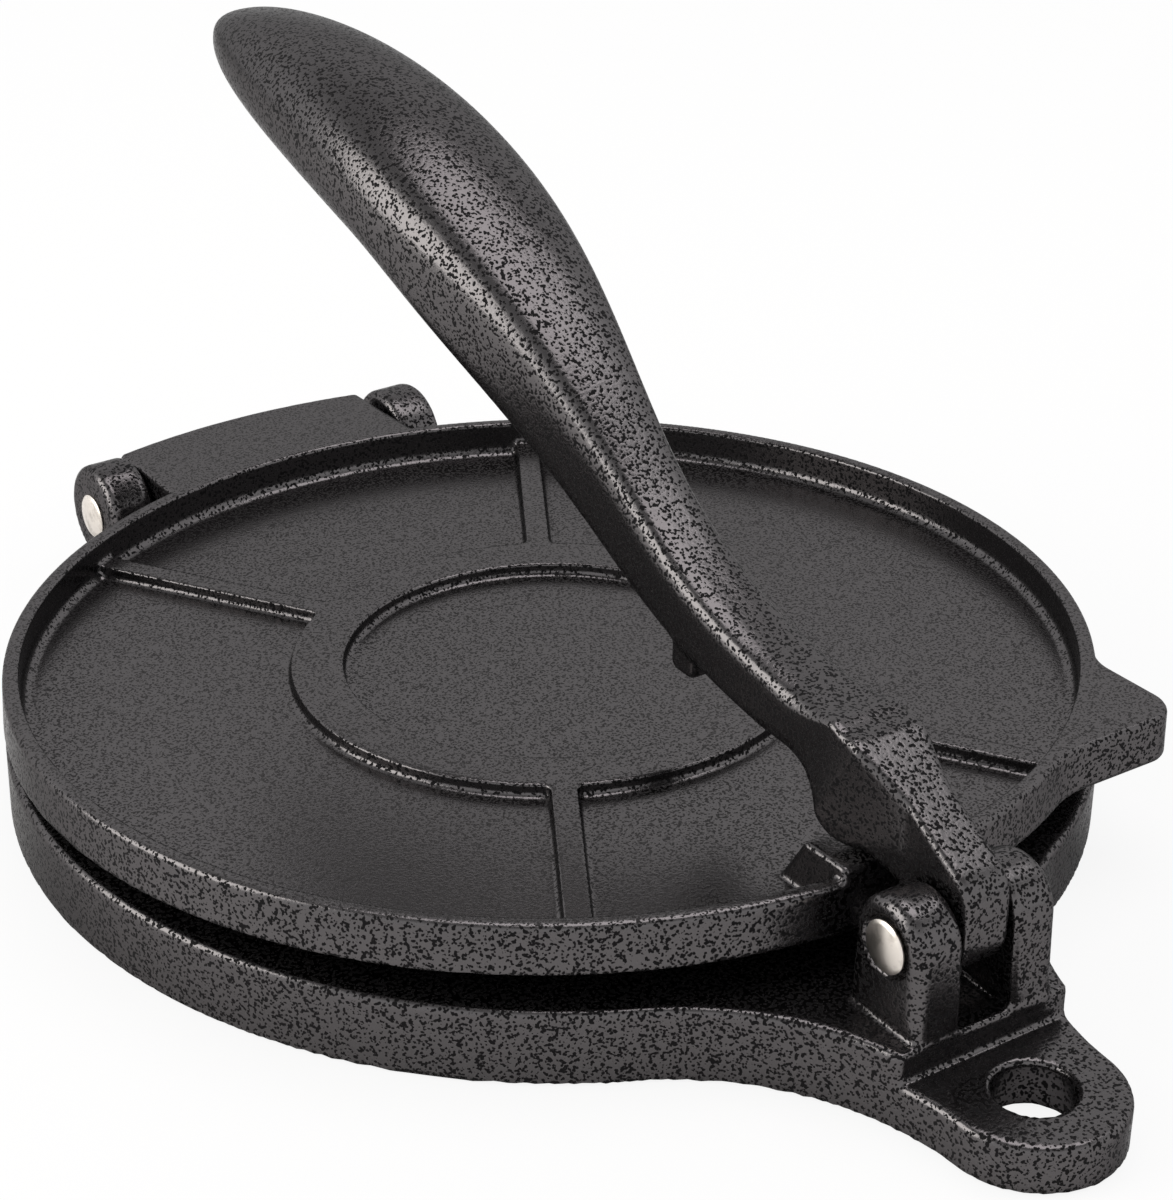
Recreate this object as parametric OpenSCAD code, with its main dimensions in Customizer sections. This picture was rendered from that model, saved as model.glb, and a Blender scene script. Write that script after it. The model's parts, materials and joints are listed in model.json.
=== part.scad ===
// Tortilla press: a round cast base, a ribbed top plate on a back hinge, and a
// cam lever that bears on a pad at the plate's front edge.
//
// Axes: +Z is up, +Y points from the plates' centre to the hinge, and +X is to the
// right for someone who faces the lever. The origin is the centre of the round base,
// on the table. The parts are drawn as they stand with the lever let go: the plate
// is a crack open and the lever leans back over it.

/* [Plates] */
// Diameter of the top plate, at the top of its rim
plate_d = 205; // [190:1:220]
// How far the rim's outside slopes out, from its top to its foot
rim_flare = 0.5; // [0.2:0.1:0.8]
// Height of the plate's rim, outside
rim_h = 9.2; // [8:0.1:12]
// Width of the rim's flat top
rim_w = 3.1; // [2.5:0.1:5]
// Thickness of the plate's floor inside the rim
floor_t = 2; // [1.8:0.1:4]
// How far the base stands out past the plate, all round
base_reach = 1; // [0:0.1:3]
// Height of the base
base_h = 14.5; // [13:0.1:17]
// Rounding of the base's and the rim's upper outer edges
edge_r = 1.4; // [0.6:0.1:2]

/* [Ribs on the top plate] */
// Diameter of the raised ring, to the middle of its width
ring_d = 88.4; // [80:0.2:96]
// Width of the raised ring
ring_w = 10; // [8:0.2:12]
// Width of a rib
rib_w = 4.8; // [4:0.1:6]
// Height of the ring and the ribs above the floor
relief_h = 2.5; // [2:0.1:3]
// Angle of each rib from the lever's line
rib_angle = 31; // [26:1:40]

/* [Underside of the base] */
// Thickness of the base's pressing deck
deck_t = 6; // [5:0.1:8]
// Wall of the base's skirt
skirt_t = 5; // [4:0.1:7]
// Diameter of the foot at the centre
hub_d = 40; // [34:1:50]

/* [Lift tab] */
// Reach of the tab's side edge to the right of the lever's line
tab_x = 77.5; // [75:0.5:80]
// Reach of the tab's front edge in front of the plate's centre
tab_y = 90.2; // [87:0.2:92]
// Corner radius of the tab
tab_r = 7; // [4:0.5:10]

/* [Cam pad on the rim] */
// Width of the pad
pad_w = 20; // [18:0.5:22]
// Length of the pad's flat top, back from the plate's edge
pad_l = 11.9; // [10:0.1:13]
// Height of the pad above the rim
pad_rise = 2.3; // [1.5:0.1:3]
// Length of the pad's sloping back
pad_slope = 6.4; // [5:0.2:9]
// Bevel along the pad's front edge
pad_bevel = 2; // [1.8:0.1:2.4]

/* [Hinge] */
// Distance of the hinge's axis behind the plate's edge
hinge_set = 11.9; // [11.6:0.1:14]
// Clear height between the two plates when they are closed
press_gap = 0.2; // [0.15:0.05:0.5]
// Width of the plate's hinge tongue
tongue_w = 58.6; // [50:0.2:64]
// Reach of the tongue's curved end behind the hinge's axis
tongue_crown = 10.4; // [10:0.1:11]
// Width of one hinge ear
hinge_ear_w = 10; // [8:0.1:12]
// Radius of a hinge ear round the pin
hinge_ear_r = 10.7; // [10:0.1:11.5]
// Bevel along the curved edges of every ear and of the lever's knee
ear_bevel = 1.6; // [0.8:0.1:2.4]
// Side clearance between the tongue and an ear
hinge_side_gap = 1; // [0.8:0.1:1.5]
// How far the plate stands open with the lever let go, in degrees
rest_open = 2; // [1.7:0.05:2.2]
// How far the plate has slid to the left in its side clearance
plate_slide = 0.7; // [0:0.1:0.7]

/* [Pins] */
// Diameter of both pins
pin_d = 7.6; // [6:0.1:8]
// Diameter of a pin's head
head_d = 9.4; // [9:0.1:12]
// Height of a pin's head
head_h = 1.2; // [0.8:0.1:2]
// Radial clearance of a pin in the piece that turns on it
run_gap = 0.06; // [0.02:0.01:0.1]
// Radial interference of a pin in the base's ears
press_in = 0.02; // [0.01:0.01:0.03]

/* [Lever bracket] */
// Distance of the lever's pin in front of the plate's edge
lever_set = 14.5; // [14:0.1:17]
// Height of the lever's pin above the base
lever_rise = 15; // [14.8:0.1:17]
// Width of the slot between the bracket's ears
slot_w = 11; // [10:0.1:12]
// Width of one bracket ear
bracket_ear_w = 9.3; // [8:0.1:10.5]
// Radius of a bracket ear round the pin
bracket_r = 8.5; // [7.5:0.1:9]
// Slant of the ears' front and back faces, each, down to the base
bracket_draft = 0.6; // [0:0.1:1]

/* [Hanging eye] */
// Distance of the eye's centre in front of the plate's edge
eye_set = 36; // [34:0.5:42]
// Outer radius of the eye
eye_r = 16; // [14:0.5:18]
// Diameter of the hole in the eye
eye_hole_d = 14; // [10:0.5:16]
// Thickness of the eye
eye_t = 9; // [7:0.1:11]
// Radius of the hollow curve from the base's edge to the eye
blend_r = 54; // [45:1:60]

/* [Lever] */
// Thickness of the lug between the bracket's ears
lug_t = 9.6; // [8:0.1:9.8]
// Radius of the lug round the pin
lug_r = 7.7; // [7:0.1:8.2]
// Radius of the lug's rounded top corner
lug_top_r = 7; // [6:0.1:7.2]
// Height of that corner's centre above the pin
lug_top = 6; // [5:0.1:7]
// Radius of the knee where the lug meets the web
knee_r = 6.2; // [5.5:0.1:7]
// Height of the knee's centre above the cam's line
knee_rise = 7.8; // [7:0.1:8.4]
// Width of the lever's web
web_w = 14.3; // [13:0.1:15.5]
// Height of the lever's web
web_h = 11.7; // [11:0.1:12.8]
// Width of the grip at its widest
grip_w = 35.6; // [32:0.2:40]
// Height of the grip at its widest
grip_h = 26; // [22:0.5:30]
// Distance from the pin to where the web starts to deepen
deepen_start = 46; // [42:1:52]
// Distance from the pin to where the web starts to widen
swell_start = 89; // [84:1:94]
// Distance from the pin to the widest part of the grip
swell_end = 180; // [170:1:188]
// Length of the lever from the pin to the tip
lever_l = 252; // [238:1:264]
// Radius of the cam
cam_r = 6.5; // [5.5:0.1:7]
// Width of the cam
cam_w = 19; // [17:0.2:20]
// Distance of the cam's line on the pad from the plate's edge
cam_seat = 6; // [5.3:0.1:6.9]
// Clearance between the cam and the pad with the lever let go
cam_gap = 0.85; // [0.75:0.05:1]
// Width of the press nub under the lever
nub_w = 12; // [9:0.2:13]
// Length of the press nub along the lever
nub_l = 7; // [6:0.2:8]
// Corner radius of the nub's foot
nub_r = 2; // [1.5:0.1:2.8]
// Distance of the nub's line outside the middle of the plate's ring
nub_seat = 2.9; // [2:0.1:4]
// How far the lever travels down before its nub would reach the ring, in degrees
press_travel = 20.2; // [19.6:0.1:21]

/* [Hidden] */

eps = 0.01;
cast = [0.30, 0.30, 0.31];
cast_dark = [0.26, 0.26, 0.27];
nickel = [0.78, 0.76, 0.72];

plate_r = plate_d / 2;
base_r = plate_r + base_reach;
hinge_y = plate_r + hinge_set;
hinge_z = base_h + press_gap;
barrel_r = rim_h;
ear_in = tongue_w / 2 + hinge_side_gap;
ear_out = ear_in + hinge_ear_w;
relief_z = hinge_z + floor_t + relief_h;

lever_y = -plate_r - lever_set;
lever_z = base_h + lever_rise;
bracket_out = slot_w / 2 + bracket_ear_w;
bracket_front = lever_y - bracket_r - bracket_draft;
eye_y = -plate_r - eye_set;

// Where a point of the closed plate, given as [y, z], stands at rest.
function raised(p) = [
    hinge_y + (p.x - hinge_y) * cos(rest_open) + (p.y - hinge_z) * sin(rest_open),
    hinge_z - (p.x - hinge_y) * sin(rest_open) + (p.y - hinge_z) * cos(rest_open)
];

// The cam and the nub, as [y, z] from the lever's pin.
pad_top = hinge_z + rim_h + pad_rise;
cam_line = raised([-plate_r + cam_seat, pad_top]);
cam_c = [cam_line.x - lever_y, cam_line.y + cam_gap + cam_r - lever_z];
ring_line = [-ring_d / 2 - nub_seat - lever_y, relief_z - lever_z];
nub_c = turned(ring_line + [0, nub_r], press_travel);

// A point [y, z] turned about the origin by an angle.
function turned(p, a) = [p.x * cos(a) - p.y * sin(a), p.x * sin(a) + p.y * cos(a)];

// The lug's rounded top corner and the knee, as [y, z] from the pin.
lug_corner = [lug_top_r - lug_r, lug_top];
knee = cam_c + [0.5, knee_rise];

// The lever's middle line: one smooth curve from the knee to the tip, set out along
// the lever's length and above its pin.
spine = lever_l * [[0.133, 0.081], [0.371, 0.092], [0.397, 0.191], [0.532, 0.330], [0.941, 0.334]];
function curve(t, p) = len(p) == 1 ? p[0]
    : curve(t, [for (i = [1:len(p) - 1]) p[i - 1] + t * (p[i] - p[i - 1])]);
function mid(t) = curve(t, spine);
function along(t) = curve(t, [for (i = [1:len(spine) - 1]) spine[i] - spine[i - 1]]);

// Share of the grip's full size at a distance from the pin: an even swell from the
// web to the widest part, then an elliptical end.
function swell(d, start) = (1 - cos(180 * min(1, max(0, (d - start) / (swell_end - start))))) / 2;
function rounding(d) = sqrt(1 - pow(max(0, d - swell_end) / (lever_l - swell_end + 0.2), 2));
function half_w(d) = (web_w + (grip_w - web_w) * swell(d, swell_start)) / 2 * rounding(d);
function half_h(d) = (web_h + (grip_h - web_h) * swell(d, deepen_start)) / 2 * rounding(d);
function squareness(d) = 3.8 - 1.5 * swell(d, swell_start);

// One ring of the lever's skin at a place t along the middle line.
function skin(t, sides) =
    let (c = mid(t), v = along(t) / norm(along(t)), d = norm(c), e = 2 / squareness(d))
    [for (k = [0:sides - 1])
        let (a = 360 * k / sides,
             x = half_w(d) * sign(cos(a)) * pow(abs(cos(a)), e),
             u = half_h(d) * sign(sin(a)) * pow(abs(sin(a)), e))
        [x, c.x - v.y * u, c.y + v.x * u]];

// Draws its 2D child, given as [y, z], as a plate w thick across the lever's line.
module across(w) {
    rotate([90, 0, 90])
        linear_extrude(w, center = true)
            children();
}

// Places its children at the hinge's axis, or at the lever's pin.
module at_hinge() {
    translate([0, hinge_y, hinge_z])
        children();
}

module at_lever_pin() {
    translate([0, lever_y, lever_z])
        children();
}

// A disc h high that stands on z = 0, with a rounded upper edge and a sharp foot.
module soft_disc(top_r, foot_r, h) {
    rotate_extrude($fn = 144)
        intersection() {
            offset(r = edge_r, $fn = 16)
                offset(delta = -edge_r)
                    polygon([[-foot_r, -h], [foot_r, -h], [foot_r, 0], [top_r, h], [-top_r, h]]);
            square([foot_r + 1, h]);
        }
}

// A bore or a shaft along X, centred.
module rod(r, l) {
    rotate([0, 90, 0])
        cylinder(r = r, h = l, center = true, $fn = 64);
}

// The base seen from above: the disc and the eye, joined by hollow curves.
module base_outline() {
    offset(r = -blend_r, $fn = 160)
        offset(r = blend_r, $fn = 160) {
            circle(r = base_r, $fn = 144);
            translate([0, eye_y])
                circle(r = eye_r, $fn = 64);
        }
}

// A round end with bevelled edges, w thick and r in radius at [y, z].
module soft_end(w, r, centre) {
    hull() {
        across(w)
            translate(centre)
                circle(r = r - ear_bevel, $fn = 64);
        across(w - 2 * ear_bevel)
            translate(centre)
                circle(r = r, $fn = 64);
    }
}

// One of the two hinge ears, at the right or the left (side 1 or -1).
module hinge_ear(side) {
    translate([side * (ear_in + ear_out) / 2, 0, 0]) {
        soft_end(hinge_ear_w, hinge_ear_r, [hinge_y, hinge_z]);
        across(hinge_ear_w)
            translate([base_r * 0.85, hinge_z - hinge_ear_r])
                square([hinge_y - base_r * 0.85, base_h - hinge_z + hinge_ear_r]);
    }
}

// One of the two ears of the lever's bracket.
module bracket_ear(side) {
    translate([side * (slot_w + bracket_ear_w) / 2, 0, 0])
        hull() {
            soft_end(bracket_ear_w, bracket_r, [lever_y, lever_z]);
            across(bracket_ear_w)
                translate([bracket_front, base_h - 2])
                    square([2 * (bracket_r + bracket_draft), 1]);
        }
}

// The hollow under the base, with its centre foot and its ribs left standing.
module underside() {
    translate([0, 0, -eps])
        linear_extrude(base_h - deck_t + eps)
            difference() {
                circle(r = base_r - skirt_t, $fn = 144);
                circle(d = hub_d, $fn = 64);
                for (a = [rib_angle, -rib_angle])
                    rotate(90 + a)
                        square([2 * base_r, rib_w], center = true);
            }
}

module base_plate() {
    color(cast)
        difference() {
            union() {
                soft_disc(base_r, base_r, base_h);
                linear_extrude(eye_t)
                    base_outline();
                linear_extrude(base_h)
                    intersection() {
                        base_outline();
                        translate([-base_r, bracket_front])
                            square([2 * base_r, -bracket_front - base_r * 0.7]);
                    }
                for (side = [-1, 1]) {
                    hinge_ear(side);
                    bracket_ear(side);
                }
            }
            underside();
            translate([0, eye_y, -eps])
                cylinder(d = eye_hole_d, h = eye_t + 2 * eps, $fn = 64);
            at_hinge()
                rod(pin_d / 2 - press_in, 2 * ear_out + 2);
            at_lever_pin()
                rod(pin_d / 2 - press_in, 2 * bracket_out + 2);
        }
}

// The raised pad that the cam bears on: a flat top and a sloping back.
module cam_pad() {
    z0 = hinge_z + eps;
    intersection() {
        across(pad_w)
            polygon([
                [-plate_r, z0],
                [-plate_r, pad_top - pad_bevel],
                [-plate_r + pad_bevel, pad_top],
                [-plate_r + pad_l, pad_top],
                [-plate_r + pad_l + pad_slope, hinge_z + floor_t],
                [-plate_r + pad_l + pad_slope, z0]
            ]);
        translate([0, 0, hinge_z])
            cylinder(r = plate_r, h = 2 * rim_h, $fn = 144);
    }
}

// The hinge tongue: a flat strap level with the rim, round below where it passes
// under the pin, with a slightly curved back edge.
module hinge_tongue() {
    intersection() {
        across(tongue_w) {
            translate([plate_r * 0.9, hinge_z])
                square([hinge_y - plate_r * 0.9, rim_h]);
            translate([hinge_y, hinge_z])
                circle(r = barrel_r, $fn = 72);
            translate([hinge_y, hinge_z])
                offset(r = edge_r, $fn = 16)
                    offset(delta = -edge_r)
                        translate([-barrel_r, 0])
                            square([2 * barrel_r + tongue_crown, rim_h]);
        }
        cylinder(r = hinge_y + tongue_crown, h = 4 * base_h, center = true, $fn = 200);
    }
}

// The corner tab at the right front, to lift the plate by.
module lift_tab() {
    translate([0, 0, hinge_z])
        linear_extrude(rim_h)
            hull() {
                translate([tab_x - tab_r, -tab_y + tab_r])
                    circle(r = tab_r, $fn = 48);
                translate([tab_x - 32, -tab_y])
                    square([1, 22]);
                translate([tab_x - 24, -tab_y + 24])
                    square([24, 1]);
            }
}

module ring_and_ribs() {
    translate([0, 0, hinge_z + floor_t - eps])
        linear_extrude(relief_h + eps) {
            difference() {
                circle(d = ring_d + ring_w, $fn = 120);
                circle(d = ring_d - ring_w, $fn = 120);
            }
            difference() {
                intersection() {
                    for (a = [rib_angle, -rib_angle])
                        rotate(90 + a)
                            square([2 * plate_r, rib_w], center = true);
                    circle(r = plate_r - rim_w / 2, $fn = 120);
                }
                circle(d = ring_d, $fn = 120);
            }
        }
}

// The top plate as it lies when the press is closed.
module plate_closed() {
    difference() {
        union() {
            translate([0, 0, hinge_z])
                soft_disc(plate_r, plate_r + rim_flare, rim_h);
            hinge_tongue();
            lift_tab();
        }
        translate([0, 0, hinge_z + floor_t])
            cylinder(r = plate_r - rim_w, h = rim_h, $fn = 144);
        at_hinge()
            rod(pin_d / 2 + run_gap, tongue_w + 2);
    }
    ring_and_ribs();
    cam_pad();
}

module top_plate() {
    color(cast)
        at_hinge()
            rotate([-rest_open, 0, 0])
                translate([-plate_slide, -hinge_y, -hinge_z])
                    plate_closed();
}

// The lever's flat head: the lug round the pin, rising to the knee.
module lug_outline() {
    circle(r = lug_r, $fn = 64);
    hull() {
        translate(lug_corner)
            circle(r = lug_top_r, $fn = 64);
        translate(knee)
            circle(r = knee_r, $fn = 48);
        translate(cam_c + [cam_r / 3, cam_r / 4])
            circle(r = 2 * cam_r / 3, $fn = 48);
    }
}

// The knee: the head's thin plate widens evenly to the web, and runs into it.
module knee_block() {
    hull() {
        soft_end(web_w, knee_r, knee + [knee_r / 2, 0]);
        across(lug_t)
            translate(knee + (lug_corner - knee) / 3)
                circle(r = knee_r - 0.2, $fn = 48);
    }
    hull() {
        soft_end(web_w, knee_r, knee + [knee_r / 2, 0]);
        soft_end(web_w, web_h / 2, mid(0.04));
    }
}

// The cam: a round bar across the lever's line, tapering up into the knee.
module cam() {
    hull() {
        translate([0, cam_c.x, cam_c.y])
            rod(cam_r, cam_w);
        translate([0, knee.x + knee_r, knee.y])
            rod(2 * knee_r / 3, web_w);
    }
}

// The press nub under the web: its foot comes down on the plate's ring.
module nub() {
    across(nub_w)
        hull() {
            for (s = [-1, 1])
                translate(nub_c + [s * (nub_l / 2 - nub_r), 0])
                    circle(r = nub_r, $fn = 40);
            translate(nub_c + [0, web_h / 2])
                circle(d = nub_l, $fn = 40);
        }
}

// The web and the grip: one skin of rings along the middle line.
module lever_skin() {
    sides = 40;
    last = 44;
    rings = [for (i = [0:last]) skin(sin(90 * i / last), sides)];
    polyhedron(
        points = [for (ring = rings) for (p = ring) p],
        faces = concat(
            [[for (k = [sides - 1:-1:0]) k]],
            [for (i = [0:last - 1]) for (k = [0:sides - 1])
                let (n = (k + 1) % sides)
                [i * sides + k, i * sides + n, (i + 1) * sides + n, (i + 1) * sides + k]],
            [[for (k = [0:sides - 1]) last * sides + k]]
        )
    );
}

module lever() {
    color(cast_dark)
        at_lever_pin()
            difference() {
                union() {
                    across(lug_t)
                        lug_outline();
                    knee_block();
                    cam();
                    nub();
                    lever_skin();
                }
                rod(pin_d / 2 + run_gap, cam_w + 2);
            }
}

// A pin along X that reaches from -reach to reach, with a low domed head on the left
// and a flatter riveted end on the right.
module headed_pin(reach) {
    color(nickel) {
        rod(pin_d / 2, 2 * reach);
        translate([-reach, 0, 0])
            rotate([0, -90, 0])
                dome(head_d / 2, head_h);
        translate([reach, 0, 0])
            rotate([0, 90, 0])
                dome(head_d / 2 - 1, head_h * 0.7);
    }
}

// A shallow dome of radius r and height h with a short straight edge.
module dome(r, h) {
    edge = h * 0.3;
    rise = h - edge;
    ball = (r * r + rise * rise) / (2 * rise);
    sweep = asin(r / ball);
    rotate_extrude($fn = 64)
        polygon(concat(
            [[0, 0], [r, 0]],
            [for (i = [10:-1:0])
                let (a = sweep * i / 10)
                [ball * sin(a), edge + rise - ball * (1 - cos(a))]]
        ));
}

module lever_pin() {
    at_lever_pin()
        headed_pin(bracket_out);
}

module hinge_pin() {
    at_hinge()
        headed_pin(ear_out);
}

base_plate();
top_plate();
lever();
lever_pin();
hinge_pin();
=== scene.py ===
"""Tortilla press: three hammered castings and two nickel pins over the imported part.

Each casting is drawn as a field: a function of position, in millimetres, that is
negative inside the metal. Fields let every edge be rounded and every inside corner
have its fillet, as cast work has, and a casting's skin is then laid on the field.
"""

import json
import logging
import math
from abc import ABC, abstractmethod
from dataclasses import dataclass, field
from enum import Enum
from itertools import product
from typing import Callable

import bpy
import numpy as np
from mathutils import Matrix, Vector


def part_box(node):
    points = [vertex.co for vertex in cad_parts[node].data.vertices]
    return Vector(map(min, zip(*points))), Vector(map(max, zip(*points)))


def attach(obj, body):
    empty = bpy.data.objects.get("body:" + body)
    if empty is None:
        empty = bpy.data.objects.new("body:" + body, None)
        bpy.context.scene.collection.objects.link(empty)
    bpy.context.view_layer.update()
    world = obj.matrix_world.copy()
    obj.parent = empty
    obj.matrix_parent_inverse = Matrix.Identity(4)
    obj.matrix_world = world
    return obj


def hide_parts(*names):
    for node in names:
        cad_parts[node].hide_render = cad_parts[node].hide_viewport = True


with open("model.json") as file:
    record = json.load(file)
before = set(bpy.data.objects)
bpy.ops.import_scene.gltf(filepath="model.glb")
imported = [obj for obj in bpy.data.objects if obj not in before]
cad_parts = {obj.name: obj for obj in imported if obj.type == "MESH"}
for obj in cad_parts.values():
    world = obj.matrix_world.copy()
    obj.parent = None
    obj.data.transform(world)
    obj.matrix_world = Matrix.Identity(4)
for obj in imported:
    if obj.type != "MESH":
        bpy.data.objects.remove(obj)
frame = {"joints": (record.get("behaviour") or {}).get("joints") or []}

log = logging.getLogger("tortilla_press")

MM = 0.001
Grid = np.ndarray
Field = Callable[[Grid, Grid, Grid], Grid]
Pair = tuple[float, float]
Colour = tuple[float, float, float]
Socket = bpy.types.NodeSocket
Inputs = dict[str | int, Socket | float | tuple]


class Body(Enum):
    """The press's moving bodies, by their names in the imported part."""

    BASE = "base"
    LEVER = "lever"
    TOP_PLATE = "top_plate"


class Slot(Enum):
    """The record's material slots."""

    CASTING = "casting"
    PIN = "pin"


class End(Enum):
    """The two ends of a pin, by which way they face along X."""

    LEFT = -1
    RIGHT = 1


class Ramp(Enum):
    """How a value goes from one end of a range to the other."""

    STRAIGHT = "LINEAR"
    SMOOTH = "SMOOTHSTEP"


class Sum(Enum):
    """The operations on numbers that the finishes need."""

    SIZE = "ABSOLUTE"
    LARGER = "MAXIMUM"
    TIMES = "MULTIPLY"
    TIMES_PLUS = "MULTIPLY_ADD"


# --- fields -----------------------------------------------------------------------


def slab(q: Grid, low: float, high: float) -> Grid:
    """Distance to the layer between two parallel planes."""
    return np.maximum(low - q, q - high)


def join(a: Grid, b: Grid, fillet: Grid | float) -> Grid:
    """Both shapes as one, with a round fillet of the given radius where they meet."""
    gap = np.hypot(np.maximum(fillet - a, 0), np.maximum(fillet - b, 0))
    return np.maximum(fillet, np.minimum(a, b)) - gap


def common(a: Grid, b: Grid, edge: Grid | float) -> Grid:
    """What both shapes share, with an edge of the given radius where they cross."""
    past = np.hypot(np.maximum(edge + a, 0), np.maximum(edge + b, 0))
    return np.minimum(-edge, np.maximum(a, b)) + past


def ease(q: Grid, low: Grid | float, high: Grid | float) -> Grid:
    """Rises smoothly from 0 to 1 as a value goes from one limit to the other."""
    return (1 - np.cos(math.pi * np.clip((q - low) / (high - low), 0, 1))) / 2


def between(ends: Pair, share: Grid) -> Grid:
    """The value at a share of the way from one value to another."""
    return ends[0] + (ends[1] - ends[0]) * share


def strut(y: Grid, z: Grid, start: np.ndarray, end: np.ndarray, r0: float, r1: float) -> Grid:
    """Distance, in the YZ plane, to the outline round two circles.

    Args:
        y: Place to the back.
        z: Height.
        start: Centre of the first circle.
        end: Centre of the second circle.
        r0: Radius of the first circle.
        r1: Radius of the second circle.

    Returns:
        The signed distance, negative inside.
    """
    length = math.hypot(*(end - start))
    way = (end - start) / length
    py, pz = y - start[0], z - start[1]
    side = np.abs(py * way[1] - pz * way[0])
    on = py * way[0] + pz * way[1]
    lean = (r0 - r1) / length
    upright = math.sqrt(1 - lean * lean)
    k = upright * on - lean * side
    flank = side * upright + on * lean - r0
    near_start = np.hypot(side, on) - r0
    near_end = np.hypot(side, on - length) - r1
    return np.where(k < 0, near_start, np.where(k > upright * length, near_end, flank))


@dataclass
class Skin:
    """A mesh of quads, laid on the surface of a shape."""

    shape: Field
    low: np.ndarray
    high: np.ndarray
    cell: float
    rounds: int = 4
    probe: float = 0.02
    least_slope: float = 1e-3

    def slope(self, points: np.ndarray, step: float) -> np.ndarray:
        """The field's gradient, from its differences.

        Args:
            points: Where to find it, one point a row.
            step: How far to look each way along each axis.

        Returns:
            The gradient at each point.
        """
        out = np.empty_like(points)
        for axis in range(3):
            ahead, behind = points.copy(), points.copy()
            ahead[:, axis] += step
            behind[:, axis] -= step
            out[:, axis] = (self.shape(*ahead.T) - self.shape(*behind.T)) / (2 * step)
        return out

    def crossings(self, d: Grid, cells: np.ndarray) -> np.ndarray:
        """Where the surface passes through each cell, from 0 to 1 along each axis.

        Args:
            d: The field at the corners of the grid.
            cells: Indices of the cells that the surface passes through.

        Returns:
            For each cell, the mean of the points where it crosses the cell's edges.
        """
        total = np.zeros(cells.shape)
        hits = np.zeros(len(cells))
        for axis in range(3):
            unit = np.eye(3, dtype=int)[axis]
            for other in product((0, 1), repeat=2):
                corner = np.insert(np.array(other), axis, 0)
                a = d[tuple((cells + corner).T)]
                b = d[tuple((cells + corner + unit).T)]
                crossed = (a < 0) != (b < 0)
                share = np.where(crossed, a / np.where(crossed, a - b, 1), 0)
                total += crossed[:, None] * (corner + unit * share[:, None])
                hits += crossed
        return total / hits[:, None]

    def quads(self, inside: Grid, number: Grid) -> np.ndarray:
        """One quad across each grid edge whose ends lie on different sides.

        Args:
            inside: Whether each grid corner is in the metal.
            number: The vertex number of each cell, where it has one.

        Returns:
            Four vertex numbers a row, turned so that the faces look out of the metal.
        """
        found = []
        for axis in range(3):
            u, v = (np.eye(3, dtype=int)[(axis + turn) % 3] for turn in (1, 2))
            lower = np.take(inside, range(inside.shape[axis] - 1), axis)
            upper = np.take(inside, range(1, inside.shape[axis]), axis)
            at = np.argwhere(lower != upper)
            ring = [at, at - u, at - u - v, at - v]
            quad = np.stack([number[tuple(c.T)] for c in ring], 1)
            leaves = lower[tuple(at.T)]
            found.append(np.where(leaves[:, None], quad, quad[:, ::-1]))
        return np.concatenate(found)

    def lay(self) -> tuple[np.ndarray, np.ndarray, np.ndarray]:
        """Finds the surface and draws the mesh's vertices onto it.

        Returns:
            The vertices, the quads and the outward normal at each vertex.
        """
        cell = self.cell
        spans = zip(self.low, self.high)
        axes = [np.arange(a - 2 * cell, b + 3 * cell, cell) for a, b in spans]
        x, y, z = np.meshgrid(*axes, indexing="ij", sparse=True)
        d = np.broadcast_to(self.shape(x, y, z), [len(a) for a in axes])
        inside = d < 0
        ends = (slice(None, -1), slice(1, None))
        count = sum(inside[i, j, k].astype(int) for i, j, k in product(ends, repeat=3))
        active = (count > 0) & (count < 8)
        cells = np.argwhere(active)
        number = np.full(active.shape, -1)
        number[active] = np.arange(len(cells))
        origin = np.array([a[0] for a in axes])
        points = origin + (cells + self.crossings(d, cells)) * cell
        for _ in range(self.rounds):
            slope = self.slope(points, self.probe)
            steep = np.maximum((slope**2).sum(1), self.least_slope)
            reach = self.shape(*points.T) / steep
            points -= np.clip(reach, -cell / 2, cell / 2)[:, None] * slope
        normals = self.slope(points, cell / 2)
        normals /= np.linalg.norm(normals, axis=1)[:, None]
        return points, self.quads(inside, number), normals


# --- finishes ---------------------------------------------------------------------


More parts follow.
